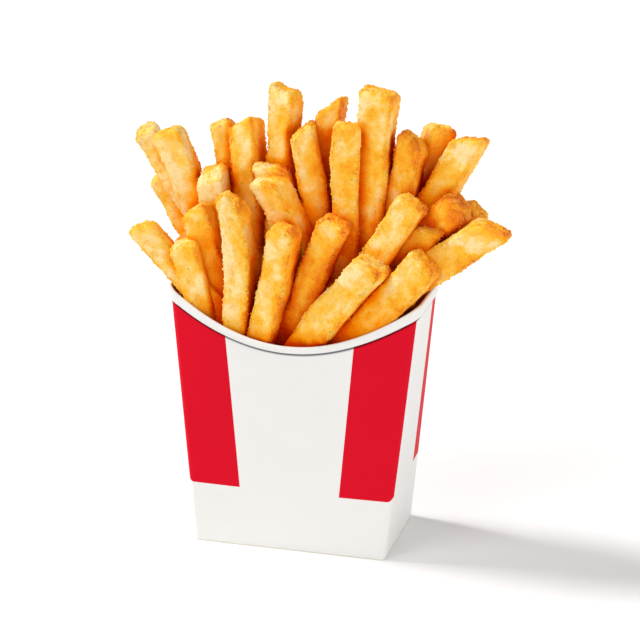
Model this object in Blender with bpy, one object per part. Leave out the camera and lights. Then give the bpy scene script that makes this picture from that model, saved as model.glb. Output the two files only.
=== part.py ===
"""French fries standing in a flared paperboard carton, at real size.

Metres, +Z up. The origin is the middle of the carton's base, where it meets
the table, and the broad front panel faces -Y. The carton is one folded
sheet, so it is one solid. The fries are one heap: a core that fills the
carton, with every fry that shows fused onto it.
"""

import math
import random
from typing import NamedTuple

import bmesh
import bpy
from mathutils import Matrix, Vector

MM = 0.001

# Carton: driving dimensions
BASE_WIDTH = 75 * MM
BASE_DEPTH = 45 * MM
SIDE_FLARE = 0.108  # the side panels lean out by this much of the height
FRONT_TAPER = 0.053  # the front and back panels lean in by this much
CORNER_HEIGHT = 100 * MM
SCOOP_HEIGHT = 82 * MM  # middle of the arched top edge
PANEL_BULGE = 4 * MM  # how far the fries push the panels out at the scoop
BULGE_POWER = 1.5
FOLD_RADIUS_BASE = 1.5 * MM
FOLD_RADIUS_TOP = 4 * MM
BOARD = 0.6 * MM
RIM_CORNER_DROP = 4.8 * MM  # height of the rim band at the corners
RIM_MIDDLE_DROP = 2.6 * MM  # and at the middle of the scoop
RIM_PROUD = 0.5 * MM

# Carton: how finely its sections are drawn
PANEL_STEPS = 14
SIDE_STEPS = 4
FOLD_STEPS = 3
WALL_LEVELS = 6

# Heap of fries
GAP = 0.4 * MM  # between the fries and the board
CORE_SHOULDER = 76 * MM  # the core fills the carton up to here
CORE_TOP = 118 * MM
CORE_TOP_WIDTH = 44 * MM
CORE_TOP_DEPTH = 6 * MM
CORE_CROWN_LEVELS = 5
FRY_CHAMFER = 0.17  # of the fry's side
FRY_BODY_RINGS = 4
END_CUT_POWER = 4  # how soon the slant of the top cut fades down the fry
END_INSET = 0.8 * MM
STEP_ALONG_FRY = 1 * MM
SIDE_TESTS = 4  # points tested along each side of a fry's section
FOOT_LEVEL = 24 * MM  # no fry that shows reaches lower than this


class Fry(NamedTuple):
    """One cut potato stick, in millimetres and degrees."""

    tip: tuple  # middle of the top end
    lean: float  # sideways, + to the right
    pitch: float  # + towards the front
    length: float
    side: float  # of the square cut
    turn: float = 0  # about its own length
    slant: float = 0  # of the top cut, + where the right side is longer
    chop: float = 0  # of the top cut, + where it faces the front
    bow: float = 0  # sideways sag at mid length, + to the right
    taper: float = 0  # how much wider the tip is than the foot, in per cent


# The fries that show from the front, from the back row to the front row.
SHOWN_FRIES = (
    Fry((-68, 15, 152), -36, -8, 88, 9, turn=10, chop=20),
    Fry((-36, 13, 157), -13, -6, 90, 9, turn=10),
    Fry((-25, 9, 158.5), -3, -4, 90, 10.5, turn=-12, slant=30, chop=-14, bow=1),
    Fry((-9.5, 10, 173), -1, -6, 96, 9.5, turn=-12, slant=-22, bow=-1, taper=-8),
    Fry((7.5, 13, 166.5), 3, -8, 92, 10, turn=0, slant=40),
    Fry((49, 14, 160.5), 18, -8, 90, 10, turn=25, slant=10),
    Fry((65, 10, 130.5), 54, -6, 74, 10.5, turn=0, slant=10),
    Fry((-61, 14, 134.5), -34, -8, 80, 9.5, turn=10),
    Fry((61.5, 8, 158), 28, -6, 92, 11, turn=-12, slant=32),
    Fry((-56, 7, 154), -23, -3, 90, 10.5, turn=5, bow=1),
    Fry((27.5, 5, 174.5), 5, -3, 98, 12, turn=-5, slant=-6, bow=1.5, taper=12),
    Fry((41, 5, 158), 10, -5, 90, 10, turn=-12, slant=-26),
    Fry((60, 1, 135), 49, 0, 72, 12.5, turn=-10),
    Fry((-1.5, 3, 159), -12, -2, 88, 10, turn=12, slant=28),
    Fry((17, -1, 163), 0, -2, 92, 10, turn=8),
    Fry((-36, 0, 141), -10, -3, 80, 10.5, turn=0, slant=6, chop=22),
    Fry((-13.5, -1, 145), -27, 3, 78, 10, turn=8, slant=-34),
    Fry((-61, -12, 121.5), -44, 2, 60, 9.5, turn=10, slant=-20, chop=-5),
    Fry((74.5, -7, 129.5), 54, 5, 74, 13, turn=-5, slant=34, taper=-28),
    Fry((50, -4, 127), 39, 0, 76, 9.5, turn=0, slant=36),
    Fry((-39.5, -7, 128.5), -17, -2, 72, 11, turn=-4, slant=14),
    Fry((44, -9, 137.5), 31, 0, 80, 10.5, turn=-10),
    Fry((-11.5, -9, 142), -26, 7, 70, 10.5, turn=-10, slant=-24),
    Fry((16, -12, 129), 21, 4, 76, 11, turn=0),
    Fry((-43, -13, 117), -16, 3, 70, 10, turn=5),
    Fry((-22.5, -17, 136), 2, 3, 80, 9.5, turn=-5, slant=-30, bow=3, taper=10),
    Fry((-1.5, -20, 127.5), 12, 7, 76, 10, turn=-5, taper=6),
    Fry((50.5, -14, 117), 40, 4, 72, 12.5, turn=-8),
    Fry((32, -19, 116), 37, 9, 74, 12, turn=-8, slant=6),
)

# The fries of the inner rows, which show in the gaps, and of the back rows
# follow a rule: each row's depth, how far its fries rise out of the carton,
# their pitch in degrees and their number.
RULED_SEED = 11
RULED_ROWS = (
    (-2 * MM, 20 * MM, 2, 8),
    (5 * MM, 34 * MM, -2, 8),
    (10 * MM, 46 * MM, -5, 8),
    (15 * MM, 38 * MM, -9, 7),
)
RULED_HALF_SPAN = 33 * MM
RULED_MOST_LEAN = 34
RULED_FALL = 0.35  # how much less the outermost fries rise
RULED_INWARD = 0.4  # how much nearer to the middle their feet stand
RULED_LENGTH = 70
RULED_SIDE = 10
RULED_NECK_CURVE = 0.7  # how much of the top edge's rise their necks follow
# How far each value may stray to either side.
STRAY_LEAN = 7
STRAY_PITCH = 4
STRAY_LENGTH = 8
STRAY_SIDE = 1
STRAY_TURN = 20
STRAY_SLANT = 25
STRAY_BOW = 1.5
STRAY_TAPER = 10
STRAY_RISE = 8 * MM


def half_width(z):
    """Half of the carton's outer width at the height z."""
    return BASE_WIDTH / 2 + SIDE_FLARE * z


def fold_radius(z):
    """Radius of the carton's four upright folds at the height z."""
    return FOLD_RADIUS_BASE + (FOLD_RADIUS_TOP - FOLD_RADIUS_BASE) * z / CORNER_HEIGHT


def half_depth(x, z):
    """Half of the carton's outer depth at the place x and height z."""
    flat = BASE_DEPTH / 2 - FRONT_TAPER * z
    across = min(abs(x) / (half_width(z) - fold_radius(z)), 1.0)
    bulge = PANEL_BULGE * (z / SCOOP_HEIGHT) ** BULGE_POWER
    return flat + bulge * (1 - across**2)


def edge_height(across):
    """Height of the top edge, where across runs from 0 at the middle to 1."""
    return SCOOP_HEIGHT + (CORNER_HEIGHT - SCOOP_HEIGHT) * min(across, 1.0) ** 2


def rim_foot(across):
    """Height of the lower edge of the raised band along the top edge."""
    drop = RIM_MIDDLE_DROP + (RIM_CORNER_DROP - RIM_MIDDLE_DROP) * min(across, 1.0) ** 2
    return edge_height(across) - drop


def section_places():
    """List where a section's points stand, in order round the carton.

    Each is (along X, along Y, fold): -1 to 1 along each axis, and the angle
    on the fold's arc, or None on a flat panel.
    """
    places = []
    for corner, (sx, sy) in enumerate(((1, -1), (1, 1), (-1, 1), (-1, -1))):
        start = math.radians(90 * corner - 90)
        for i in range(FOLD_STEPS + 1):
            places.append((sx, sy, start + math.pi / 2 * i / FOLD_STEPS))
        steps = SIDE_STEPS if corner % 2 == 0 else PANEL_STEPS
        for i in range(1, steps):
            share = 1 - 2 * i / steps
            if corner % 2 == 0:
                places.append((sx, sy * share, None))
            else:
                places.append((sx * share, sy, None))
    return places


def section_point(place, z, inset):
    """Give the point of one place at the height z, inset from the board's outer face."""
    sx, sy, fold = place
    radius = fold_radius(z)
    width = half_width(z)
    flat_x = width - radius
    if fold is not None:
        corner_depth = half_depth(width, z) - radius
        reach = radius - inset
        return Vector((sx * flat_x + reach * math.cos(fold), sy * corner_depth + reach * math.sin(fold), z))
    if abs(sx) == 1:
        return Vector((sx * (width - inset), sy * (half_depth(width, z) - radius), z))
    x = sx * flat_x
    return Vector((x, math.copysign(half_depth(x, z) - inset, sy), z))


def across_panel(place):
    """Tell how far a place stands from the middle, as a share of the half width."""
    sx, _, fold = place
    round_share = fold_radius(CORNER_HEIGHT) / half_width(CORNER_HEIGHT)
    if fold is not None:
        return 1 - round_share * (1 - abs(math.cos(fold)))
    return 1.0 if abs(sx) == 1 else abs(sx) * (1 - round_share)


def carton_ring(level, inset, foot=0.0, top=edge_height):
    """Make one ring of the carton's wall.

    level runs from 0 at the height foot to 1 at the height that top gives
    for each place across the panel.
    """
    points = []
    for place in section_places():
        height = foot + (top(across_panel(place)) - foot) * level
        points.append(section_point(place, height, inset))
    return points


def loft(name, rings):
    """Make a closed solid through rings of equally many points.

    Each end is closed by triangles that meet at its middle.
    """
    shape = bmesh.new()
    loops = [[shape.verts.new(point) for point in ring] for ring in rings]
    count = len(rings[0])
    for lower, upper in zip(loops, loops[1:]):
        for i in range(count):
            j = (i + 1) % count
            shape.faces.new((lower[i], lower[j], upper[j], upper[i]))
    for end, turn in ((loops[0], -1), (loops[-1], 1)):
        middle = shape.verts.new(sum((vert.co for vert in end), Vector()) / count)
        for i in range(count):
            shape.faces.new((end[i], end[(i + turn) % count], middle))
    bmesh.ops.recalc_face_normals(shape, faces=shape.faces)
    mesh = bpy.data.meshes.new(name)
    shape.to_mesh(mesh)
    shape.free()
    return bpy.data.objects.new(name, mesh)


def make_material(name, colour, roughness):
    """Make a plain Principled material."""
    material = bpy.data.materials.new(name)
    material.use_nodes = True
    surface = material.node_tree.nodes["Principled BSDF"]
    surface.inputs["Base Color"].default_value = (*colour, 1.0)
    surface.inputs["Roughness"].default_value = roughness
    surface.inputs["Metallic"].default_value = 0.0
    material.diffuse_color = (*colour, 1.0)
    return material


def make_carton(collection):
    """Model the carton: tapered walls, raised band along the scooped top edge, flat base."""
    rings = [carton_ring(i / WALL_LEVELS, 0.0, top=rim_foot) for i in range(WALL_LEVELS + 1)]
    rings.append(carton_ring(1.0, -RIM_PROUD, top=rim_foot))
    rings.append(carton_ring(1.0, -RIM_PROUD))
    rings += [carton_ring(1 - i / WALL_LEVELS, BOARD, foot=BOARD) for i in range(WALL_LEVELS + 1)]
    carton = loft("carton", rings)
    collection.objects.link(carton)
    carton.data.materials.append(make_material("white_and_red_board", (0.90, 0.88, 0.85), 0.45))
    carton.data.shade_smooth()
    carton.data.set_sharp_from_angle(angle=math.radians(30))
    return carton


def core_ring(z, width_share, depth_share):
    """Make one ring of the core, as the carton's inner section drawn in by two shares."""
    points = []
    for place in section_places():
        point = section_point(place, z, BOARD + GAP)
        points.append(Vector((point.x * width_share, point.y * depth_share, z)))
    return points


def make_core(collection):
    """Model the core: it fills the carton, then closes to a low crown above it."""
    rings = [core_ring(z, 1.0, 1.0) for z in (BOARD + GAP, CORE_SHOULDER / 2, CORE_SHOULDER)]
    for i in range(1, CORE_CROWN_LEVELS + 1):
        level = i / CORE_CROWN_LEVELS
        z = CORE_SHOULDER + (CORE_TOP - CORE_SHOULDER) * level
        width = half_width(z)
        top_width = CORE_TOP_WIDTH / 2 / width
        top_depth = CORE_TOP_DEPTH / 2 / half_depth(width, z)
        drawn_in = math.sqrt(level)
        rings.append(core_ring(z, 1 + (top_width - 1) * level**2, 1 + (top_depth - 1) * drawn_in))
    core = loft("fries", rings)
    collection.objects.link(core)
    return core


def fry_axes(fry):
    """Give a fry's own directions: right, front and along, as unit vectors."""
    along = Vector((math.tan(math.radians(fry.lean)), -math.tan(math.radians(fry.pitch)), 1)).normalized()
    front = Vector((0, -1, 0)) - along * along.dot(Vector((0, -1, 0)))
    front.rotate(Matrix.Rotation(math.radians(fry.turn), 3, along))
    front.normalize()
    return front.cross(along).normalized() * -1, front, along


def fry_centre(fry, down):
    """Give the fry's middle line at the distance down from its tip."""
    right, _, along = fry_axes(fry)
    share = down / (fry.length * MM)
    return Vector(fry.tip) * MM - along * down + right * (fry.bow * MM * 4 * share * (1 - share))


def fry_section(side):
    """List the corners of a square section with chamfered corners, about its middle."""
    half = side / 2
    cut = side * FRY_CHAMFER
    corners = []
    for sx, sy in ((1, -1), (1, 1), (-1, 1), (-1, -1)):
        first = (sx * half, sy * (half - cut))
        second = (sx * (half - cut), sy * half)
        corners += [first, second] if sx * sy > 0 else [second, first]
    return corners


def section_corners(fry, down, eased=1.0, cut_share=0.0):
    """Place the corners of the fry's section at the distance down from its tip.

    cut_share runs from 0, square to the fry, to 1, along the slanted end.
    """
    right, front, along = fry_axes(fry)
    centre = fry_centre(fry, down)
    rise = math.tan(math.radians(fry.slant)) * cut_share
    fall = math.tan(math.radians(fry.chop)) * cut_share
    width = 1 + fry.taper / 100 * (0.5 - down / (fry.length * MM))
    return [
        centre + right * a + front * b + along * (a * rise - b * fall)
        for a, b in fry_section(fry.side * MM * eased * width)
    ]


def crosses_board(point):
    """Tell whether a point of a fry is too low, or too near the board."""
    if point.z < FOOT_LEVEL:
        return True
    edge = edge_height(abs(point.x) / half_width(point.z))
    if point.z > edge + GAP:
        return False
    room = BOARD + GAP
    width = half_width(point.z)
    beside = abs(point.x) > width - room
    before = abs(point.y) > half_depth(point.x, min(point.z, edge)) - room
    radius = fold_radius(point.z)
    into_fold_x = abs(point.x) - (width - radius)
    into_fold_y = abs(point.y) - (half_depth(width, point.z) - radius)
    in_fold = min(into_fold_x, into_fold_y) > 0 and math.hypot(into_fold_x, into_fold_y) > radius - room
    return beside or before or in_fold


def clear_length(fry):
    """Give the length of the fry that stays clear of the board, from its tip down."""
    down = 0.0
    while down < fry.length * MM:
        corners = section_corners(fry, down)
        for corner, following in zip(corners, corners[1:] + corners[:1]):
            if any(crosses_board(corner.lerp(following, i / SIDE_TESTS)) for i in range(SIDE_TESTS)):
                return down
        down += STEP_ALONG_FRY
    return down


def make_fry(name, fry, collection):
    """Model one fry as a bowed bar with eight sides and eased ends."""
    length = clear_length(fry)
    rings = []
    for i in range(FRY_BODY_RINGS + 1):
        share = i / FRY_BODY_RINGS
        rings.append(section_corners(fry, (1 - share) * length + END_INSET * share, 1.0, share**END_CUT_POWER))
    rings.append(section_corners(fry, 0.0, 1 - 2 * END_INSET / (fry.side * MM), 1.0))
    bar = loft(name, rings)
    collection.objects.link(bar)
    return bar


def ruled_fries():
    """Draw the fries of the inner and back rows, fanned out as the hand-placed ones are."""
    dice = random.Random(RULED_SEED)

    def stray(most):
        return dice.uniform(-most, most)

    fries = []
    for depth, rise, pitch, count in RULED_ROWS:
        for i in range(count):
            place = 2 * (i + 0.5) / count - 1
            fry = Fry(
                (0, 0, 0),
                lean=place * RULED_MOST_LEAN + stray(STRAY_LEAN),
                pitch=pitch + stray(STRAY_PITCH),
                length=RULED_LENGTH + stray(STRAY_LENGTH),
                side=RULED_SIDE + stray(STRAY_SIDE),
                turn=stray(STRAY_TURN),
                slant=stray(STRAY_SLANT),
                bow=stray(STRAY_BOW),
                taper=stray(STRAY_TAPER),
            )
            inward = 1 - RULED_INWARD * place**2
            neck = Vector((place * RULED_HALF_SPAN, depth * inward, edge_height(RULED_NECK_CURVE * place)))
            showing = rise * (1 - RULED_FALL * place**2) + stray(STRAY_RISE)
            tip = neck + fry_axes(fry)[2] * showing
            fries.append(fry._replace(tip=tuple(tip / MM)))
    return fries


def keep_outer_body(mesh):
    """Keep the largest closed body of a mesh, so that hollows are filled and scraps dropped."""
    shape = bmesh.new()
    shape.from_mesh(mesh)
    unseen = set(shape.verts)
    bodies = []
    while unseen:
        found = [unseen.pop()]
        body = set(found)
        while found:
            for edge in found.pop().link_edges:
                for vert in edge.verts:
                    if vert in unseen:
                        unseen.discard(vert)
                        body.add(vert)
                        found.append(vert)
        bodies.append(body)
    largest = max(bodies, key=lambda body: max(v.co.x for v in body) - min(v.co.x for v in body))
    bmesh.ops.delete(shape, geom=[v for v in shape.verts if v not in largest], context="VERTS")
    shape.to_mesh(mesh)
    shape.free()


def join_heap(core, pieces):
    """Fuse the fries onto the core with one Boolean union, and remove the loose fries."""
    union = core.modifiers.new("fries fused on", "BOOLEAN")
    union.operation = "UNION"
    union.operand_type = "COLLECTION"
    union.collection = pieces
    union.solver = "EXACT"
    bpy.context.view_layer.update()
    evaluated = core.evaluated_get(bpy.context.evaluated_depsgraph_get())
    fused = bpy.data.meshes.new_from_object(evaluated)
    core.modifiers.remove(union)
    core.data = fused
    keep_outer_body(core.data)
    for piece in list(pieces.objects):
        bpy.data.objects.remove(piece)
    bpy.data.collections.remove(pieces)


def make_fries(collection):
    """Model the heap of fries as one solid."""
    core = make_core(collection)
    loose = bpy.data.collections.new("loose fries")
    bpy.context.scene.collection.children.link(loose)
    for i, fry in enumerate(list(SHOWN_FRIES) + ruled_fries()):
        make_fry(f"fry_{i:02d}", fry, loose)
    join_heap(core, loose)
    core.data.materials.clear()
    core.data.materials.append(make_material("fried_potato", (0.93, 0.60, 0.16), 0.55))
    core.data.shade_flat()
    return core


def main():
    """Empty the scene and model the object."""
    for old in list(bpy.data.objects):
        bpy.data.objects.remove(old)
    collection = bpy.data.collections.new("fries_in_carton")
    bpy.context.scene.collection.children.link(collection)
    make_carton(collection)
    make_fries(collection)


main()
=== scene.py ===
"""Thick-cut french fries in a striped paperboard scoop carton: the looks.

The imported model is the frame: the carton and the heap of fries keep its
places and sizes. The carton is dressed as printed board with its folds, its
raised band and its cut edges. The heap becomes separate fries with a crisp
crust, over a core of their own, with loose crumbs on them.
"""

from __future__ import annotations

import logging
import math
import random
from dataclasses import dataclass, field
from enum import Enum
from typing import NamedTuple, Sequence

import bpy
import numpy as np
from mathutils import Matrix, Vector
from mathutils.bvhtree import BVHTree

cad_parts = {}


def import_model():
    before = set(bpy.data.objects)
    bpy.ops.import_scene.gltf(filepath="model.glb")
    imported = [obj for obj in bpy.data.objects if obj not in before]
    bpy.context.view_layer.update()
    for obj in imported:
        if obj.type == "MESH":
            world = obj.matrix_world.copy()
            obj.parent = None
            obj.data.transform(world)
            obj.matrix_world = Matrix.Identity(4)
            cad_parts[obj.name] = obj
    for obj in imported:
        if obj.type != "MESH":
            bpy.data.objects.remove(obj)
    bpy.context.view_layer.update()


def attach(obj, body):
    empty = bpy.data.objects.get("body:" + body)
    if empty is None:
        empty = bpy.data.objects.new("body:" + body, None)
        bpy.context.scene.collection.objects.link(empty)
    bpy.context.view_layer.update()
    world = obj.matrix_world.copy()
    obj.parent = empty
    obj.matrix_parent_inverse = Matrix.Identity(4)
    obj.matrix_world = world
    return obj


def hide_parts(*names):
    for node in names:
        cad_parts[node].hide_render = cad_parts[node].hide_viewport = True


LOG = logging.getLogger("fries_in_carton")
MM = 0.001
SHADER, GEOMETRY = "ShaderNodeTree", "GeometryNodeTree"

Node, Tree, Socket = bpy.types.Node, bpy.types.NodeTree, bpy.types.NodeSocket
Piece, Material = bpy.types.Object, bpy.types.Material
Inputs = dict[str | int, object]
Triple = tuple[float, float, float]
Place = tuple[float, float, float | None]


def tone(red: int, green: int, blue: int) -> tuple[float, float, float, float]:
    """Turn a screen colour, 0 to 255 in each channel, into the linear colour that shaders take."""
    linear = []
    for value in (red, green, blue):
        share = value / 255
        linear.append(share / 12.92 if share <= 0.04045 else ((share + 0.055) / 1.055) ** 2.4)
    return (*linear, 1.0)


class Graph:
    """A node tree under construction, with short calls for what this file uses often."""

    def __init__(self, tree: Tree) -> None:
        """Start on a tree, which is emptied."""
        self.tree = tree
        tree.nodes.clear()

    def fill(self, node: Node, inputs: Inputs) -> None:
        """Give a node's inputs, by name or number, their values or the sockets they come from."""
        for key, value in inputs.items():
            if isinstance(value, Socket):
                self.tree.links.new(value, node.inputs[key])
            else:
                node.inputs[key].default_value = value

    def add(self, kind: str, inputs: Inputs | None = None, **settings: object) -> Node:
        """Add a node.

        Args:
            kind: The node's type name.
            inputs: Values or sockets for its inputs, by name or number.
            **settings: Properties of the node.

        Returns:
            The node.
        """
        node = self.tree.nodes.new(kind)
        for name, value in settings.items():
            setattr(node, name, value)
        self.fill(node, inputs or {})
        return node

    def math(self, operation: str, *values: object, clamp: bool = False) -> Socket:
        """Add a Math node and return its result."""
        inputs = dict(enumerate(values))
        return self.add("ShaderNodeMath", inputs, operation=operation, use_clamp=clamp).outputs[0]

    def plus(self, first: object, second: object) -> Socket:
        """Add two numbers."""
        return self.math("ADD", first, second)

    def times(self, first: object, second: object) -> Socket:
        """Multiply two numbers."""
        return self.math("MULTIPLY", first, second)

    def vector(self, operation: str, first: object, second: object) -> Socket:
        """Add a Vector Math node and return its result."""
        return self.add("ShaderNodeVectorMath", {0: first, 1: second}, operation=operation).outputs[0]

    def scaled(self, vector: object, factor: object) -> Socket:
        """Multiply a vector by a number."""
        return self.add("ShaderNodeVectorMath", {0: vector, "Scale": factor}, operation="SCALE").outputs[0]

    def joined(self, *numbers: object) -> Socket:
        """Join three numbers into a vector."""
        return self.add("ShaderNodeCombineXYZ", dict(enumerate(numbers))).outputs[0]

    def noise(self, vector: Socket, size: float | Socket, detail: float, roughness: float = 0.5) -> Socket:
        """Add noise whose lumps are about size metres across, and return its value."""
        scale = self.math("DIVIDE", 1.0, size) if isinstance(size, Socket) else 1 / size
        values = {"Vector": vector, "Scale": scale, "Detail": detail, "Roughness": roughness}
        return self.add("ShaderNodeTexNoise", values).outputs[0]

    def ease(self, value: Socket, low: float, high: float, start: float = 0.0, end: float = 1.0) -> Socket:
        """Map low to high onto start to end with level ends, and return the result."""
        limits = {"Value": value, "From Min": low, "From Max": high, "To Min": start, "To Max": end}
        return self.add("ShaderNodeMapRange", limits, interpolation_type="SMOOTHSTEP").outputs["Result"]

    def mix(self, share: object, first: object, second: object, blend: str = "MIX") -> Socket:
        """Mix two colours and return the result."""
        node = self.add("ShaderNodeMix", data_type="RGBA", blend_type=blend, clamp_factor=True)
        self.fill(node, {0: share, 6: first, 7: second})
        return node.outputs[2]

    def bump(self, height: Socket, strength: float, distance: float) -> Socket:
        """Turn a height into a bumpy normal."""
        values = {"Height": height, "Strength": strength, "Distance": distance}
        return self.add("ShaderNodeBump", values).outputs[0]

    def marks(self, labels: str) -> dict[str, Socket]:
        """Read point attributes, whose names labels holds with spaces between them."""
        found = {}
        for name in labels.split():
            if self.tree.bl_idname == GEOMETRY:
                node = self.add("GeometryNodeInputNamedAttribute", {"Name": name}, data_type="FLOAT")
                found[name] = node.outputs["Attribute"]
            else:
                node = self.add("ShaderNodeAttribute", attribute_name=name, attribute_type="GEOMETRY")
                found[name] = node.outputs["Fac"]
        return found

    def place(self, group: Tree, inputs: dict[str, object]) -> bpy.types.bpy_prop_collection:
        """Place a node group with its own values and return its outputs."""
        node = self.add("ShaderNodeGroup", node_tree=group)
        self.fill(node, inputs)
        return node.outputs


def new_group(
    name: str, kind: str, inputs: dict[str, object], outputs: dict[str, str]
) -> tuple[Graph, dict[str, Socket], Node]:
    """Start a node group with named inputs and outputs.

    Args:
        name: The group's name.
        kind: SHADER or GEOMETRY.
        inputs: Each input's default number, or its short socket type where it has none.
        outputs: Each output's short socket type.

    Returns:
        The group's graph, its inputs by name and its output node.
    """
    tree = bpy.data.node_groups.new(name, kind)
    graph = Graph(tree)
    for label, value in inputs.items():
        short = value if isinstance(value, str) else "Int" if isinstance(value, int) else "Float"
        socket = tree.interface.new_socket(name=label, in_out="INPUT", socket_type="NodeSocket" + short)
        if short != value:
            socket.default_value = value
    for label, short in outputs.items():
        tree.interface.new_socket(name=label, in_out="OUTPUT", socket_type="NodeSocket" + short)
    start = graph.add("NodeGroupInput")
    return graph, {s.name: s for s in start.outputs if s.name}, graph.add("NodeGroupOutput")


@dataclass(frozen=True)
class BoardPlan:
    """Sizes of the carton, in metres, as the frame has them."""

    base_width: float = 75 * MM
    base_depth: float = 45 * MM
    side_flare: float = 0.108
    front_taper: float = 0.053
    corner_height: float = 100 * MM
    scoop_height: float = 82 * MM
    panel_bulge: float = 4 * MM
    bulge_power: float = 1.5
    fold_radius_base: float = 1.5 * MM
    fold_radius_top: float = 4 * MM
    board: float = 0.6 * MM
    rim_corner_drop: float = 4.8 * MM
    rim_middle_drop: float = 2.6 * MM
    rim_proud: float = 0.5 * MM

    def half_width(self, z: float) -> float:
        """Half of the outer width at the height z."""
        return self.base_width / 2 + self.side_flare * z

    def fold_radius(self, z: float) -> float:
        """Radius of the upright folds at the height z."""
        return self.fold_radius_base + (self.fold_radius_top - self.fold_radius_base) * z / self.corner_height

    def half_depth(self, x: float, z: float) -> float:
        """Half of the outer depth at the place x and height z."""
        flat = self.base_depth / 2 - self.front_taper * z
        across = min(abs(x) / (self.half_width(z) - self.fold_radius(z)), 1.0)
        bulge = self.panel_bulge * (max(z, 0.0) / self.scoop_height) ** self.bulge_power
        return flat + bulge * (1 - across**2)

    def edge_height(self, across: float) -> float:
        """Height of the top edge, where across runs from 0 at the middle to 1."""
        return self.scoop_height + (self.corner_height - self.scoop_height) * min(across, 1.0) ** 2

    def rim_foot(self, across: float) -> float:
        """Height of the lower edge of the raised band."""
        span = self.rim_corner_drop - self.rim_middle_drop
        return self.edge_height(across) - self.rim_middle_drop - span * min(across, 1.0) ** 2


class Fry(NamedTuple):
    """One cut potato stick, in millimetres and degrees, as the frame has it."""

    tip: Triple  # middle of the top end
    lean: float  # sideways, + to the right
    pitch: float  # + towards the front
    length: float
    side: float  # of the square cut
    turn: float = 0  # about its own length
    slant: float = 0  # of the top cut, + where the right side is longer
    chop: float = 0  # of the top cut, + where it faces the front
    bow: float = 0  # sideways sag at mid length, + to the right
    taper: float = 0  # how much wider the tip is than the foot, in per cent
    bite: float = 0  # how deep the top cut is hollowed, in millimetres
    brown: float = 0  # how much browner it is than the others; for the inner and rear fries this browning is painted shade

    def axes(self) -> tuple[Vector, Vector, Vector]:
        """Give the fry's own directions: right, front and along."""
        sideways, forwards = (math.tan(math.radians(angle)) for angle in (self.lean, self.pitch))
        along = Vector((sideways, -forwards, 1)).normalized()
        front = Vector((0, -1, 0)) - along * along.dot(Vector((0, -1, 0)))
        front.rotate(Matrix.Rotation(math.radians(self.turn), 3, along))
        front.normalize()
        return along.cross(front).normalized(), front, along


class Row(Enum):
    """Where a fry stands in the heap, which is also the name of its piece."""

    BACK = "fries_tall_back_row"
    MIDDLE = "fries_middle_row"
    FRONT = "fries_front_row"
    INNER = "fries_inner_rows"
    REAR = "fries_rear_rows"


BACK_ROW = (
    Fry((-68, 15, 152), -36, -8, 88, 9, turn=10, chop=20, brown=-0.15),
    Fry((-36, 13, 157), -13, -6, 90, 9, turn=10, brown=0.05),
    Fry((-25, 9, 158.5), -3, -4, 90, 10.5, turn=-12, slant=30, chop=-14, bow=1, brown=0.15),
    Fry((-9.5, 10, 173), -1, -6, 96, 9.5, turn=-12, slant=-22, bow=-1, taper=-8, bite=2.2),
    Fry((7.5, 13, 166.5), 3, -8, 92, 10, turn=0, slant=40, brown=0.1),
    Fry((49, 14, 160.5), 18, -8, 90, 10, turn=25, slant=10, brown=0.05),
    Fry((65, 10, 130.5), 54, -6, 74, 10.5, turn=0, slant=10, brown=0.25),
    Fry((-61, 14, 134.5), -34, -8, 80, 9.5, turn=10, brown=-0.1),
    Fry((61.5, 8, 158), 28, -6, 92, 11, turn=-12, slant=32, brown=-0.1),
    Fry((-56, 7, 154), -23, -3, 90, 10.5, turn=5, bow=1, brown=-0.1),
    Fry((27.5, 5, 174.5), 5, -3, 98, 12, turn=-5, slant=-6, bow=1.5, taper=12, brown=0.1),
)
MIDDLE_ROW = (
    Fry((41, 5, 158), 10, -5, 90, 10, turn=-12, slant=-26, brown=0.25),
    Fry((60, 1, 135), 49, 0, 72, 12.5, turn=-10, brown=0.35),
    Fry((-1.5, 3, 159), -12, -2, 88, 10, turn=12, slant=28, brown=-0.05),
    Fry((17, -1, 163), 0, -2, 92, 10, turn=8),
    Fry((-36, 0, 141), -10, -3, 80, 10.5, turn=0, slant=6, chop=22, brown=-0.2),
    Fry((-13.5, -1, 145), -27, 3, 78, 10, turn=8, slant=-34),
    Fry((-61, -12, 121.5), -44, 2, 60, 9.5, turn=10, slant=-20, chop=-5, brown=-0.1),
    Fry((74.5, -7, 129.5), 54, 5, 74, 13, turn=-5, slant=34, taper=-28, brown=-0.05),
    Fry((50, -4, 127), 39, 0, 76, 9.5, turn=0, slant=36),
    Fry((-39.5, -7, 128.5), -17, -2, 72, 11, turn=-4, slant=14),
)
FRONT_ROW = (
    Fry((44, -9, 137.5), 31, 0, 80, 10.5, turn=-10, brown=-0.05),
    Fry((-11.5, -9, 142), -26, 7, 70, 10.5, turn=-10, slant=-24, brown=-0.1),
    Fry((16, -12, 129), 21, 4, 76, 11, turn=0, brown=0.2),
    Fry((-43, -13, 117), -16, 3, 70, 10, turn=5, brown=-0.1),
    Fry((-22.5, -17, 136), 2, 3, 80, 9.5, turn=-5, slant=-30, bow=3, taper=10, brown=-0.15),
    Fry((-1.5, -20, 127.5), 12, 7, 76, 10, turn=-5, taper=6, brown=0.2),
    Fry((50.5, -14, 117), 40, 4, 72, 12.5, turn=-8, brown=-0.1),
    Fry((32, -19, 116), 37, 9, 74, 12, turn=-8, slant=6),
)


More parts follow.
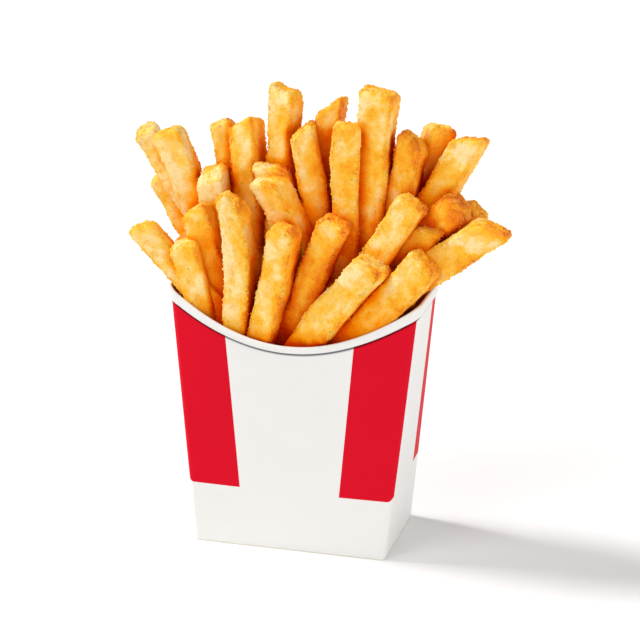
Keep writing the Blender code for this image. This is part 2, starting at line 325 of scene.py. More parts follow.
@dataclass(frozen=True)
class RuledRows:
    """The rule for the inner and rear fries, the same as the frame's."""

    seed: int = 11
    rows: tuple[tuple[float, float, float, int], ...] = (  # depth, rise over the edge, pitch and count
        (-2 * MM, 20 * MM, 2, 8),
        (5 * MM, 34 * MM, -2, 8),
        (10 * MM, 46 * MM, -5, 8),
        (15 * MM, 38 * MM, -9, 7),
    )
    half_span: float = 33 * MM
    most_lean: float = 34
    fall: float = 0.35  # how much less the outermost fries rise
    inward: float = 0.4  # how much nearer the middle the outermost fries stand
    edge_share: float = 0.7
    length: float = 70
    side: float = 10
    # Painted shade: the inner and rear fries stand in the heap's shade, so they are browned further.
    browner: float = 0.28
    rise_stray: float = 8 * MM

    def draw(self, plan: BoardPlan) -> list[tuple[int, Fry]]:
        """Draw the fries.

        Args:
            plan: The carton, whose edge the fries rise from.

        Returns:
            Each fry with the number of its row.
        """
        dice = random.Random(self.seed)

        def stray(most: float) -> float:
            """Draw a number up to most either way."""
            return dice.uniform(-most, most)

        fries = []
        for number, (depth, rise, pitch, count) in enumerate(self.rows):
            for i in range(count):
                place = 2 * (i + 0.5) / count - 1
                fry = Fry(
                    (0, 0, 0),
                    lean=place * self.most_lean + stray(7),
                    pitch=pitch + stray(4),
                    length=self.length + stray(8),
                    side=self.side + stray(1),
                    turn=stray(20),
                    slant=stray(25),
                    bow=stray(1.5),
                    taper=stray(10),
                    brown=self.browner,
                )
                inward = 1 - self.inward * place**2
                edge = plan.edge_height(self.edge_share * place)
                neck = Vector((place * self.half_span, depth * inward, edge))
                showing = rise * (1 - self.fall * place**2) + stray(self.rise_stray)
                tip = neck + fry.axes()[2] * showing
                fries.append((number, fry._replace(tip=tuple(tip / MM))))
        return fries


@dataclass
class MeshParts:
    """Points, faces and point attributes gathered for one mesh."""

    points: list[np.ndarray] = field(default_factory=list)
    faces: list[list[int]] = field(default_factory=list)
    marks: dict[str, list[np.ndarray]] = field(default_factory=dict)
    count: int = 0

    def add_rings(self, rings: np.ndarray, marks: dict[str, np.ndarray]) -> None:
        """Add a closed tube of rings, whose ends are closed by fans.

        Args:
            rings: Points by ring, place and axis.
            marks: Attribute values by ring and place.
        """
        levels, around = rings.shape[:2]
        base = self.count
        ends = np.stack([rings[0].mean(axis=0), rings[-1].mean(axis=0)])
        self.points += [rings.reshape(-1, 3), ends]
        for name, values in marks.items():
            joined = np.concatenate([values.reshape(-1), [values[0].mean(), values[-1].mean()]])
            self.marks.setdefault(name, []).append(joined)
        index = base + np.arange(levels * around).reshape(levels, around)
        following = np.roll(index, -1, axis=1)
        quads = np.stack([index[:-1], following[:-1], following[1:], index[1:]], axis=-1)
        self.faces += quads.reshape(-1, 4).tolist()
        first, last = base + levels * around, base + levels * around + 1
        self.faces += [[int(b), int(a), first] for a, b in zip(index[0], following[0])]
        self.faces += [[int(a), int(b), last] for a, b in zip(index[-1], following[-1])]
        self.count += levels * around + 2

    def build(self, name: str) -> Piece:
        """Make the mesh object, shaded smooth, and link it to the scene."""
        mesh = bpy.data.meshes.new(name)
        mesh.from_pydata(np.concatenate(self.points).tolist(), [], self.faces)
        for label, values in self.marks.items():
            mesh.attributes.new(label, "FLOAT", "POINT").data.foreach_set("value", np.concatenate(values))
        mesh.shade_smooth()
        piece = bpy.data.objects.new(name, mesh)
        bpy.context.scene.collection.objects.link(piece)
        return piece


def bake_modifiers(piece: Piece) -> None:
    """Turn the piece's evaluated shape into its plain mesh, and remove the modifiers."""
    bpy.context.view_layer.update()
    evaluated = piece.evaluated_get(bpy.context.evaluated_depsgraph_get())
    mesh = bpy.data.meshes.new_from_object(evaluated)
    mesh.name = piece.name
    piece.modifiers.clear()
    piece.data = mesh


def run_geometry_nodes(piece: Piece, tree: Tree, values: dict[str, object]) -> None:
    """Run a Geometry Nodes tree on a piece and keep its result as a plain mesh.

    Args:
        piece: The piece to change.
        tree: The tree.
        values: The tree's inputs by name.
    """
    modifier = piece.modifiers.new(tree.name, "NODES")
    modifier.node_group = tree
    for item in tree.interface.items_tree:
        if item.item_type == "SOCKET" and item.in_out == "INPUT" and item.name in values:
            modifier[item.identifier] = values[item.name]
    bake_modifiers(piece)


class Finishes:
    """The shader groups and the materials made from them."""

    def __init__(self) -> None:
        """Build the shared groups once, then each material."""
        self.speckle = self.make_speckle_group()
        self.browning_and_painted_shade = self.make_browning_and_painted_shade_group()
        self.fibre = self.make_fibre_group()
        self.stripes = self.make_stripes_group(BoardPlan())
        self.crust = self.make_crust("crisp crust")
        self.crumb = self.make_crust("crumbs of crust", gloss=0.3)
        # The core stands for the shaded inner fries: it is browned further and its deep mark is full, which
        # is painted shade.
        self.core = self.make_crust("shaded inner fries", warmth=0.22)
        self.print = self.make_print()
        # The inside's orange-brown is partly the board's own colour and partly painted light bounced from the
        # fries.
        self.inside = self.make_plain_board("inside of the board", tone(222, 140, 74))
        self.cut_edge = self.make_plain_board("cut edge of the board", tone(236, 228, 208))

    def make_speckle_group(self) -> Tree:
        """Make fine grains: a height and a mask of scattered specks."""
        graph, given, out = new_group(
            "Fine speckle",
            SHADER,
            {"Vector": "Vector", "Grain Size": 0.5 * MM, "Speck Share": 0.2},
            {"Height": "Float", "Specks": "Float"},
        )
        spot = given["Vector"]
        cell_scale = graph.math("DIVIDE", 0.35, given["Grain Size"])
        cells = graph.add("ShaderNodeTexVoronoi", {"Vector": spot, "Scale": cell_scale})
        near = graph.ease(cells.outputs["Distance"], 0.34, 0.16)
        picked = graph.add("ShaderNodeSeparateColor", {0: cells.outputs["Color"]}).outputs[0]
        chosen = graph.math("LESS_THAN", picked, given["Speck Share"])
        grains = graph.noise(spot, given["Grain Size"], 3.0)
        graph.fill(out, {"Height": grains, "Specks": graph.times(near, chosen)})
        return graph.tree

    def make_browning_and_painted_shade_group(self) -> Tree:
        """Make the colour of fried potato, from pale flesh to brown edges, with painted shade where the heap
        closes round a place and painted side light carried by the toast mark.
        """
        graph, given, out = new_group(
            "Fried browning",
            SHADER,
            {"Vector": "Vector", "Along Fry": "Vector", "Edge": 0.0, "End": 0.0}
            | {"Toast": 0.3, "Deep": 0.0, "Warmth": 0.0},
            {"Color": "Color"},
        )
        # Deep tells how closely the heap stands round a place; it is painted shade.
        own, deep = given["Along Fry"], given["Deep"]
        cream = graph.ease(graph.noise(own, 9 * MM, 3.0, 0.55), 0.45, 0.62)
        patches = graph.noise(graph.vector("ADD", own, (0.5, 0.2, 0.1)), 6 * MM, 3.0, 0.55)
        mottle = graph.noise(given["Vector"], 1.7 * MM, 4.0, 0.75)
        ragged = graph.math("MULTIPLY_ADD", graph.plus(mottle, -0.5), 1.2, given["Edge"])
        edges = graph.ease(ragged, 0.15, 0.95)
        browning_and_painted_shade: object = -0.15
        for value, weight in (
            (graph.plus(patches, -0.5), 0.95),
            (edges, 0.12),
            (given["End"], 0.20),
            (given["Toast"], 0.60),
            (mottle, 0.42),
            (cream, -0.29),
            (given["Warmth"], 1.0),
            # painted shade: closed-in places are pushed browner
            (deep, 0.30),
        ):
            browning_and_painted_shade = graph.math("MULTIPLY_ADD", value, weight, browning_and_painted_shade)
        ramp = graph.add("ShaderNodeValToRGB", {0: browning_and_painted_shade})
        stops = (
            (0.00, tone(255, 224, 158)),
            (0.16, tone(255, 208, 108)),
            (0.36, tone(255, 190, 46)),
            (0.58, tone(251, 158, 20)),
            (0.78, tone(234, 122, 12)),
            (1.00, tone(184, 80, 8)),
        )
        elements = ramp.color_ramp.elements
        while len(elements) < len(stops):
            elements.new(0.5)
        for element, (position, colour) in zip(elements, stops):
            element.position = position
            element.color = colour
        browner = graph.ease(given["Toast"], 0.15, 0.50)
        golden = graph.ease(graph.noise(own, 4 * MM, 4.0, 0.65), 0.54, 0.66)
        golden = graph.times(golden, graph.ease(browner, 0.0, 1.0, 0.5, 0.15))
        fried = graph.mix(golden, ramp.outputs[0], tone(240, 168, 20))
        grain = graph.noise(given["Vector"], 0.6 * MM, 2.0, 0.6)
        pits = graph.times(graph.ease(grain, 0.46, 0.30), 0.30)
        pitted = graph.mix(pits, fried, tone(238, 176, 96), "MULTIPLY")
        # Pale grains near the edges and the end: partly pale crust grains, partly painted glints.
        rough = graph.ease(graph.math("MAXIMUM", edges, given["End"]), 0.2, 0.9, 0.18, 0.5)
        pale_grains_and_painted_glints = graph.times(graph.ease(grain, 0.56, 0.70), rough)
        colour = graph.mix(pale_grains_and_painted_glints, pitted, tone(255, 236, 176))
        # Painted shade: closed-in places are multiplied darker, yellow on pale fries and red-brown on browner
        # ones.
        for low, high, pale, brown in (
            (0.12, 0.55, tone(255, 214, 64), tone(246, 198, 114)),
            (0.42, 0.90, tone(240, 150, 24), tone(212, 122, 54)),
        ):
            tint = graph.mix(browner, pale, brown)
            colour = graph.mix(graph.ease(deep, low, high), colour, tint, "MULTIPLY")
        graph.fill(out, {"Color": colour})
        return graph.tree

    def make_fibre_group(self) -> Tree:
        """Make paper fibre: a height, and a tint that varies a little."""
        graph, given, out = new_group(
            "Board fibre",
            SHADER,
            {"Vector": "Vector", "Fibre Size": 0.4 * MM},
            {"Height": "Float", "Tint": "Float"},
        )
        stretched = graph.vector("MULTIPLY", given["Vector"], (1.0, 1.0, 0.35))
        fine = graph.noise(stretched, given["Fibre Size"], 3.0)
        tint = graph.ease(graph.noise(given["Vector"], 18 * MM, 2.0), 0.3, 0.7)
        graph.fill(out, {"Height": fine, "Tint": tint})
        return graph.tree

    def make_stripes_group(self, plan: BoardPlan) -> Tree:
        """Make the mask of the upright stripes, which flare with the carton."""
        graph, given, out = new_group(
            "Upright stripes",
            SHADER,
            {"Vector": "Vector", "Inner Foot": 17.4 * MM, "Inner Flare": 0.088, "Side Edge": 0.50}
            | {"Wrap": 2.0 * MM, "Lower End": 23.5 * MM, "Side Rise": 0.09, "Fold Rise": 1.4 * MM}
            | {"Softness": 0.06 * MM},
            {"Mask": "Float"},
        )
        x, y, z = graph.add("ShaderNodeSeparateXYZ", {0: given["Vector"]}).outputs
        inner = graph.math("MULTIPLY_ADD", z, given["Inner Flare"], given["Inner Foot"])
        depth = graph.math("MULTIPLY_ADD", z, -plan.front_taper, plan.base_depth / 2)

        def past(value: Socket, limit: object) -> Socket:
            """Make a soft step that is 1 where value is past limit."""
            share = graph.math("DIVIDE", graph.math("SUBTRACT", value, limit), given["Softness"])
            return graph.math("ADD", share, 0.5, clamp=True)

        on_face = past(graph.math("ABSOLUTE", x), inner)
        wrapped = past(graph.math("SUBTRACT", given["Wrap"], depth), y)
        round_back = past(y, graph.times(depth, given["Side Edge"]))
        beside = graph.math("MAXIMUM", wrapped, round_back)
        behind = graph.math("MAXIMUM", graph.plus(y, depth), 0.0)
        end = graph.math("MULTIPLY_ADD", behind, given["Side Rise"], given["Lower End"])
        above = past(z, graph.plus(end, graph.math("MINIMUM", behind, given["Fold Rise"])))
        graph.fill(out, {"Mask": graph.times(graph.times(on_face, beside), above)})
        return graph.tree

    def new_material(self, name: str) -> tuple[Material, Graph, Node, Socket]:
        """Start a material and give it, its graph, its surface shader and the place on the piece."""
        material = bpy.data.materials.new(name)
        material.use_nodes = True
        graph = Graph(material.node_tree)
        surface = graph.add("ShaderNodeBsdfPrincipled")
        graph.add("ShaderNodeOutputMaterial", {0: surface.outputs[0]})
        return material, graph, surface, graph.add("ShaderNodeTexCoord").outputs["Object"]

    def make_crust(self, name: str, warmth: float = 0.0, gloss: float = 0.25) -> Material:
        """Make the material of fried potato.

        Args:
            name: The material's name.
            warmth: How much browner than the fries it is.
            gloss: How strongly it shines.

        Returns:
            The material.
        """
        material, graph, surface, place = self.new_material(name)
        marks = graph.marks("edge end toast deep lot across front down")
        apart = graph.joined(marks["lot"], marks["lot"], 0.0)
        spot = graph.vector("ADD", place, apart)
        own = graph.joined(marks["across"], marks["front"], graph.times(marks["down"], 0.8))
        values = {"Vector": spot, "Along Fry": graph.vector("ADD", own, apart), "Warmth": warmth}
        values |= {label: marks[label.lower()] for label in ("Edge", "End", "Toast", "Deep")}
        colour = graph.place(self.browning_and_painted_shade, values)["Color"]
        speckle = graph.place(self.speckle, {"Vector": spot, "Grain Size": 0.45 * MM, "Speck Share": 0.10})
        height = speckle["Height"]
        grit = graph.plus(height, graph.noise(spot, 1.1 * MM, 2.0, 0.6))
        graph.fill(
            surface,
            {
                "Base Color": graph.mix(graph.times(speckle["Specks"], 0.28), colour, tone(214, 134, 20)),
                "Roughness": graph.ease(height, 0.35, 0.65, 0.62 - 0.5 * gloss, 0.8 - 0.5 * gloss),
                "Normal": graph.bump(grit, 0.6, 0.4 * MM),
                # The shine fades where the painted shade lies.
                "Specular IOR Level": graph.ease(marks["deep"], 0.1, 0.5, gloss, 0.0),
                "Specular Tint": tone(255, 226, 170),
                "Subsurface Weight": 0.25,
                "Subsurface Radius": (1.0, 0.45, 0.12),
                "Subsurface Scale": 2.0 * MM,
            },
        )
        return material

    def make_print(self) -> Material:
        """Make the coated, printed outside of the board."""
        material, graph, surface, place = self.new_material("printed coated board")
        stripes = graph.place(self.stripes, {"Vector": place})["Mask"]
        fibre = graph.place(self.fibre, {"Vector": place, "Fibre Size": 0.5 * MM})
        white = graph.mix(graph.times(fibre["Tint"], 0.25), tone(234, 233, 230), tone(231, 230, 227))
        red = graph.mix(graph.times(fibre["Tint"], 0.3), tone(216, 17, 40), tone(211, 16, 38))
        marks = graph.marks("band line")
        mask = graph.times(stripes, graph.math("SUBTRACT", 1.0, marks["band"]))
        printed = graph.mix(mask, white, red)
        # Painted shadow: a dark line on the wall just under the raised band, and on the band's foot.
        print_with_painted_shadow = graph.mix(graph.times(marks["line"], 0.9), printed, tone(92, 96, 104), "MULTIPLY")
        graph.fill(
            surface,
            {
                "Base Color": print_with_painted_shadow,
                "Roughness": graph.math("MULTIPLY_ADD", fibre["Height"], 0.12, 0.38),
                "Normal": graph.bump(fibre["Height"], 0.12, 0.05 * MM),
                "Specular IOR Level": 0.03,
            },
        )
        return material

    def make_plain_board(self, name: str, colour: Sequence[float]) -> Material:
        """Make bare board: the inside, or a cut edge."""
        material, graph, surface, place = self.new_material(name)
        fibre = graph.place(self.fibre, {"Vector": place, "Fibre Size": 0.3 * MM})
        darker = (*(value * 0.85 for value in colour[:3]), 1.0)
        graph.fill(
            surface,
            {
                "Base Color": graph.mix(fibre["Tint"], colour, darker),
                "Roughness": graph.ease(fibre["Height"], 0.0, 1.0, 0.6, 0.85),
                "Normal": graph.bump(fibre["Height"], 0.3, 0.08 * MM),
            },
        )
        return material


def crust_relief_tree() -> Tree:
    """Make the Geometry Nodes tree that gives a smooth fry its lumpy, grainy crust."""
    graph, given, out = new_group(
        "Crust relief",
        GEOMETRY,
        {"Geometry": "Geometry", "Lump Height": 0.5 * MM, "Lump Size": 5 * MM, "Grain Height": 0.3 * MM}
        | {"Grain Size": 1.1 * MM, "End Height": 0.9 * MM, "Material": "Material"},
        {"Geometry": "Geometry"},
    )
    normal = graph.add("GeometryNodeInputNormal").outputs[0]
    marks = graph.marks("lot edge end")
    apart = graph.joined(marks["lot"], marks["lot"], 0.0)
    spot = graph.vector("ADD", graph.add("GeometryNodeInputPosition").outputs[0], apart)

    def layer(size: Socket, height: Socket, detail: float) -> Socket:
        """Make one layer of relief, centred on no change."""
        either_way = graph.times(graph.plus(graph.noise(spot, size, detail), -0.5), 2.0)
        return graph.times(either_way, height)

    lumps = layer(given["Lump Size"], given["Lump Height"], 2.0)
    grains = layer(given["Grain Size"], given["Grain Height"], 3.0)
    chips = layer(graph.times(given["Lump Size"], 0.6), given["End Height"], 1.0)
    rough_edges = graph.math("MAXIMUM", marks["edge"], marks["end"])
    more = graph.math("MULTIPLY_ADD", rough_edges, 1.6, 0.7)
    total = graph.math("MULTIPLY_ADD", grains, more, lumps)
    total = graph.math("MULTIPLY_ADD", chips, marks["end"], total)
    offset = graph.scaled(normal, total)
    moved = graph.add("GeometryNodeSetPosition", {"Geometry": given["Geometry"], "Offset": offset})
    finish_geometry(graph, given, out, moved)
    return graph.tree


def finish_geometry(graph: Graph, given: dict[str, Socket], out: Node, last: bpy.types.Node) -> None:
    """Give the last node's geometry the tree's material, and put it out."""
    values = {"Geometry": last.outputs[0], "Material": given["Material"]}
    dressed = graph.add("GeometryNodeSetMaterial", values)
    graph.fill(out, {"Geometry": dressed.outputs[0]})


def crumb_scatter_tree() -> Tree:
    """Make the Geometry Nodes tree that scatters crumbs of crust over the fries."""
    graph, given, out = new_group(
        "Crumb scatter",
        GEOMETRY,
        {"Geometry": "Geometry", "Density": 60000.0, "Smallest": 0.18 * MM, "Largest": 0.42 * MM}
        | {"Lowest": 80 * MM, "Seed": 3, "Material": "Material"},
        {"Geometry": "Geometry"},
    )
    marks = graph.marks("edge end")
    place = graph.add("GeometryNodeInputPosition").outputs[0]
    height = graph.add("ShaderNodeSeparateXYZ", {0: place}).outputs[2]
    shown = graph.math("GREATER_THAN", height, given["Lowest"])
    clusters = graph.ease(graph.noise(place, 4 * MM, 2.0, 0.6), 0.43, 0.60)
    at_edges = graph.math("MAXIMUM", marks["edge"], graph.times(marks["end"], 0.5))
    wanted = graph.math("MULTIPLY_ADD", at_edges, 0.95, 0.05)
    density = graph.times(graph.times(graph.times(wanted, clusters), given["Density"]), shown)
    spread = graph.add(
        "GeometryNodeDistributePointsOnFaces",
        {"Mesh": given["Geometry"], "Density": density, "Seed": given["Seed"]},
    )

    def drawn(inputs: dict[int, object], kind: str, output: int) -> Socket:
        """Draw a random value for each crumb."""
        values = inputs | {"Seed": given["Seed"]}
        return graph.add("FunctionNodeRandomValue", values, data_type=kind).outputs[output]

    size = drawn({2: given["Smallest"], 3: given["Largest"]}, "FLOAT", 1)
    turn = drawn({0: (0.0, 0.0, 0.0), 1: (math.tau, math.tau, math.tau)}, "FLOAT_VECTOR", 0)
    uneven = drawn({0: (0.6, 0.6, 0.5), 1: (1.5, 1.1, 1.0)}, "FLOAT_VECTOR", 0)
    crumb = graph.add("GeometryNodeMeshIcoSphere", {"Radius": 1.0, "Subdivisions": 1}).outputs["Mesh"]
    placed = graph.add(
        "GeometryNodeInstanceOnPoints",
        {"Points": spread.outputs["Points"], "Instance": crumb, "Rotation": turn}
        | {"Scale": graph.scaled(uneven, size)},
    )
    real = graph.add("GeometryNodeRealizeInstances", {0: placed.outputs[0]})
    finish_geometry(graph, given, out, real)
    return graph.tree


@dataclass(frozen=True)
class FryGrain:
    """How finely a fry is drawn, and how uneven it is."""

    ring_spacing: float = 0.6 * MM
    face_spacing: float = 0.9 * MM
    corner_steps: int = 7
    end_round: float = 2.6 * MM
    end_steps: int = 6
    squareness: float = 7.0  # power of the section's curve; higher is sharper
    uneven_squareness: float = 2.2
    fullness: float = 1.04  # how much wider than its plain bar, for the rounded edges
    sink: float = 0.05 * MM  # how far the faces sink between their edges
    sink_share: tuple[float, float] = (0.3, 1.3)
    sway: float = 0.6 * MM
    swell: float = 0.06
    bite: float = 0.45 * MM
    twist: float = 10.0  # degrees over the whole length
    # Painted light: faces turned to the left, the front and up are painted paler, and faces turned away
    # browner.
    painted_light_side: Triple = (-0.80, -0.30, 0.52)  # which way the paler faces look
    painted_side_light: float = 0.28
    foot_shade: float = 16 * MM  # how high above the carton's edge the feet still are in its shade
    most_foot_shade: float = 0.5
    lit_tip: float = 12 * MM  # how far below its tip a fry still catches light
    tip_shade: float = 0.3  # share of the closeness that counts at the tip
    buried: float = 14 * MM  # how far a fry is drawn below the carton's edge
    flat_share: float = 0.66  # how far from its middle a face is drawn with even steps
    rounding: tuple[float, float] = (0.7, 1.35)  # least and most share of end_round
    most_skew: float = 0.08
    edge_zone: tuple[float, float] = (0.62, 0.98)  # where the mark of an edge starts and is full
    end_zone: float = 3.5 * MM  # how far down the mark of the end reaches
    loose_from: float = 10 * MM  # how far below its tip a fry sways in full
    slope_fade: int = 4  # powers by which the tip's cut and its hollow fade out below it
    hollow_fade: int = 14
    skip: int = 6  # every which ring has its closeness measured
    measured_round: int = 12  # at how many places
    clearance: float = 1.2 * MM  # between a fry and the place where closeness is measured


class HeapShade:
    """Measures how closely the heap and the carton stand round a place, for the shade that is painted into
    the fries' colour.
    """

    reach: float = 26 * MM
    rays: int = 20
    step: float = 0.01 * MM
    inside_share: float = 0.7  # what a ray counts that starts inside another fry

    def __init__(self, plan: BoardPlan, fries: Sequence[Fry]) -> None:
        """Gather plain bars for the fries and plain walls for the carton.

        Args:
            plan: The carton.
            fries: All fries of the heap.
        """
        points: list[Vector] = []
        faces: list[tuple[int, int, int, int]] = []
        for fry in fries:
            right, front, along = fry.axes()
            half = fry.side * MM / 2
            start = len(points)
            for down in (0.0, fry.length * MM):
                middle = Vector(fry.tip) * MM - along * down
                for i, j in ((-1, -1), (1, -1), (1, 1), (-1, 1)):
                    points.append(middle + right * half * i + front * half * j)
            sides = [(i, (i + 1) % 4, (i + 1) % 4 + 4, i + 4) for i in range(4)]
            faces += [tuple(start + k for k in side) for side in ((3, 2, 1, 0), (4, 5, 6, 7), *sides)]
        for sign in (-1, 1):
            start = len(points)
            for z in (0.0, plan.scoop_height):
                for x in (-1, 1):
                    points.append(Vector((x * plan.half_width(z), sign * plan.half_depth(0, z), z)))
            wall = (start, start + 1, start + 3, start + 2)
            faces.append(wall if sign > 0 else wall[::-1])
        self.tree = BVHTree.FromPolygons(points, faces)
        self.owner = [i for i in range(len(fries)) for _ in range(6)] + [None, None]
        self.fries = {fry: i for i, fry in enumerate(fries)}
        golden = math.pi * (3 - math.sqrt(5))
        self.directions = []
        for i in range(self.rays):
            rise = math.sqrt(1 - (i + 0.5) / self.rays)
            flat = math.sqrt(1 - rise**2)
            self.directions.append((flat * math.cos(i * golden), flat * math.sin(i * golden), rise))

    def closed(self, point: np.ndarray, normal: np.ndarray, fry: Fry) -> float:
        """Tell how closed in a point is.

        Args:
            point: The point, just clear of its fry.
            normal: The direction that its face looks in.
            fry: The fry, which doesn't shade itself.

        Returns:
            0 where the view is open, up to 1 where everything is close.
        """
        up = Vector(normal)
        side = up.orthogonal().normalized()
        other = up.cross(side)
        own = self.fries[fry]
        total = 0.0
        for a, b, c in self.directions:
            ray = side * a + other * b + up * c
            start, gone = Vector(point), 0.0
            while gone < self.reach:
                hit, face_normal, index, distance = self.tree.ray_cast(start, ray, self.reach - gone)
                if hit is None:
                    break
                gone += distance + self.step
                start = hit + ray * self.step
                owner = self.owner[index]
                if owner == own:
                    continue
                if face_normal.dot(ray) < 0:
                    total += max(1 - gone / self.reach, 0.0)
                elif owner is not None:
                    total += self.inside_share
                break
        return total / self.rays


class FryMaker:
    """Draws single fries as ringed tubes with their attributes."""

    def __init__(self, plan: BoardPlan, grain: FryGrain, shade: HeapShade, seed: int) -> None:
        """Keep the sizes and start the dice."""
        self.plan = plan
        self.grain = grain
        self.shade = shade
        self.dice = random.Random(seed)

    def square(self, half: float) -> np.ndarray:
        """Spread places round a square, closer together near its corners.

        Args:
            half: Half of the section's side.

        Returns:
            Places from -1 to 1 to the right and to the front.
        """
        steps = max(4, round(1.3 * half / self.grain.face_spacing))
        flat = self.grain.flat_share
        inner = np.linspace(-flat, flat, steps)
        outer = np.linspace(flat, 1, self.grain.corner_steps // 2 + 1)[1:]
        run = np.concatenate([-outer[::-1], inner, outer[:-1]])
        one = np.ones_like(run)
        sides = [(one, run), (-run, one), (-one, -run), (run, -one)]
        return np.concatenate([np.stack(side, axis=1) for side in sides])

    def drawn_length(self, fry: Fry) -> float:
        """Give the length that is drawn, down to where the heap hides the fry."""
        rise = fry.axes()[2].z
        lowest = self.plan.scoop_height - self.grain.buried
        return min(fry.length * MM, (fry.tip[2] * MM - lowest) / rise)

    def end_rings(self, fry: Fry) -> int:
        """Count the rings that close the flat of the tip."""
        return max(5, round(fry.side * MM / 2 / self.grain.ring_spacing) - 1)

    def waves(self, down: np.ndarray, lengths: Sequence[float]) -> np.ndarray:
        """Add sine waves of the given lengths in metres, each started at random."""
        total = np.zeros_like(down)
        for length in lengths:
            total += np.sin(math.tau * down / length + self.dice.uniform(0, math.tau))
        return total / len(lengths)

    def stations(self, fry: Fry) -> tuple[np.ndarray, np.ndarray, np.ndarray]:
        """Lay out the rings from the foot, round the end and in to its middle.

        Args:
            fry: The fry.

        Returns:
            How far each ring is below the tip, how far it is drawn in, and its share of the full section.
        """
        grain = self.grain
        length = self.drawn_length(fry)
        rounding = grain.end_round * self.dice.uniform(*grain.rounding)
        body = np.linspace(length, rounding, max(8, round(length / grain.ring_spacing)))
        angles = math.pi / 2 * np.arange(1, grain.end_steps + 1) / grain.end_steps
        cap_steps = self.end_rings(fry)
        down = [body, rounding * (1 - np.sin(angles)), np.zeros(cap_steps)]
        drawn_in = [np.zeros(len(body)), rounding * (1 - np.cos(angles)), np.full(cap_steps, rounding)]
        inner = [np.ones(len(body) + grain.end_steps), np.linspace(1, 0, cap_steps + 2)[1:-1]]
        return np.concatenate(down), np.concatenate(drawn_in), np.concatenate(inner)

    def section(self, fry: Fry, stations: Sequence[np.ndarray]) -> tuple[np.ndarray, np.ndarray, np.ndarray]:
        """Draw the uneven, rounded square sections.

        Args:
            fry: The fry.
            stations: What stations() gives.

        Returns:
            Each point's place to the right and to the front, and how near it is to an edge.
        """
        grain, dice = self.grain, self.dice
        down, drawn_in, inner = stations
        half = fry.side * MM / 2 * grain.fullness
        square = self.square(half)
        u, v = np.abs(square).T
        quarter = (square[:, 0] > 0) * 1 + (square[:, 1] > 0) * 2
        corner_power = np.stack([self.waves(down, (21 * MM, 47 * MM)) for _ in range(4)], axis=1)
        power = grain.squareness + grain.uneven_squareness * corner_power[:, quarter]
        shape = (u[None, :] ** power + v[None, :] ** power) ** (-1 / power)
        width = 1 + fry.taper / 100 * (0.5 - down / (fry.length * MM))
        reach = (half * width - drawn_in) * inner
        wide = reach * (1 + grain.swell * self.waves(down, (26 * MM, 61 * MM)))
        deep = reach * (1 + grain.swell * self.waves(down, (29 * MM, 57 * MM)))
        near = np.minimum(u, v)[None, :]
        sink = 1 - grain.sink * dice.uniform(*grain.sink_share) / half * (1 - near**2)
        a = square[None, :, 0] * shape * sink * wide[:, None]
        b = square[None, :, 1] * shape * sink * deep[:, None]
        a = a + dice.uniform(-grain.most_skew, grain.most_skew) * b
        start, full = grain.edge_zone
        corner = np.clip((near * inner[:, None] - start) / (full - start), 0, 1)
        turn = math.radians(dice.uniform(-grain.twist, grain.twist)) * down / (fry.length * MM)
        cos, sin = np.cos(turn)[:, None], np.sin(turn)[:, None]
        return a * cos - b * sin, a * sin + b * cos, corner**2 * (3 - 2 * corner)

    def closeness(self, rings: np.ndarray, centre: np.ndarray, fry: Fry) -> np.ndarray:
        """Measure how closed in the fry is at some of its points, and spread that to all. The result, with
        painted shade added at the feet near the carton's edge, paints shade into the colour.

        Args:
            rings: All points of the fry.
            centre: The middle of each ring.
            fry: The fry.

        Returns:
            The closeness of each point.
        """
        grain = self.grain
        levels, around = rings.shape[:2]
        picked = np.unique(np.append(np.arange(0, levels, grain.skip), levels - 1))
        places = np.arange(0, around, max(1, around // grain.measured_round))
        along = np.array(fry.axes()[2])
        coarse = np.zeros((len(picked), len(places)))
        below = (centre[-1] - centre) @ along
        open_tip = np.interp(below, (0, grain.lit_tip), (grain.tip_shade, 1))
        for i, level in enumerate(picked):
            for j, place in enumerate(places):
                outward = rings[level, place] - centre[level]
                outward = outward - along * outward.dot(along)
                size = np.linalg.norm(outward)
                on_end = level >= levels - self.end_rings(fry)
                outward = along if on_end or size == 0 else outward / size
                point = rings[level, place] + outward * grain.clearance
                edge = self.plan.edge_height(min(abs(point[0]) / self.plan.half_width(point[2]), 1.0))
                low = min(max(1 - (point[2] - edge) / grain.foot_shade, 0), 1)
                closed = self.shade.closed(point, outward, fry)
                coarse[i, j] = closed * open_tip[level] + grain.most_foot_shade * low**2
        columns = [np.interp(np.arange(levels), picked, coarse[:, j]) for j in range(len(places))]
        by_level = np.stack(columns, axis=1)
        spread = [np.interp(np.arange(around), places, row, period=around) for row in by_level]
        return np.stack(spread)

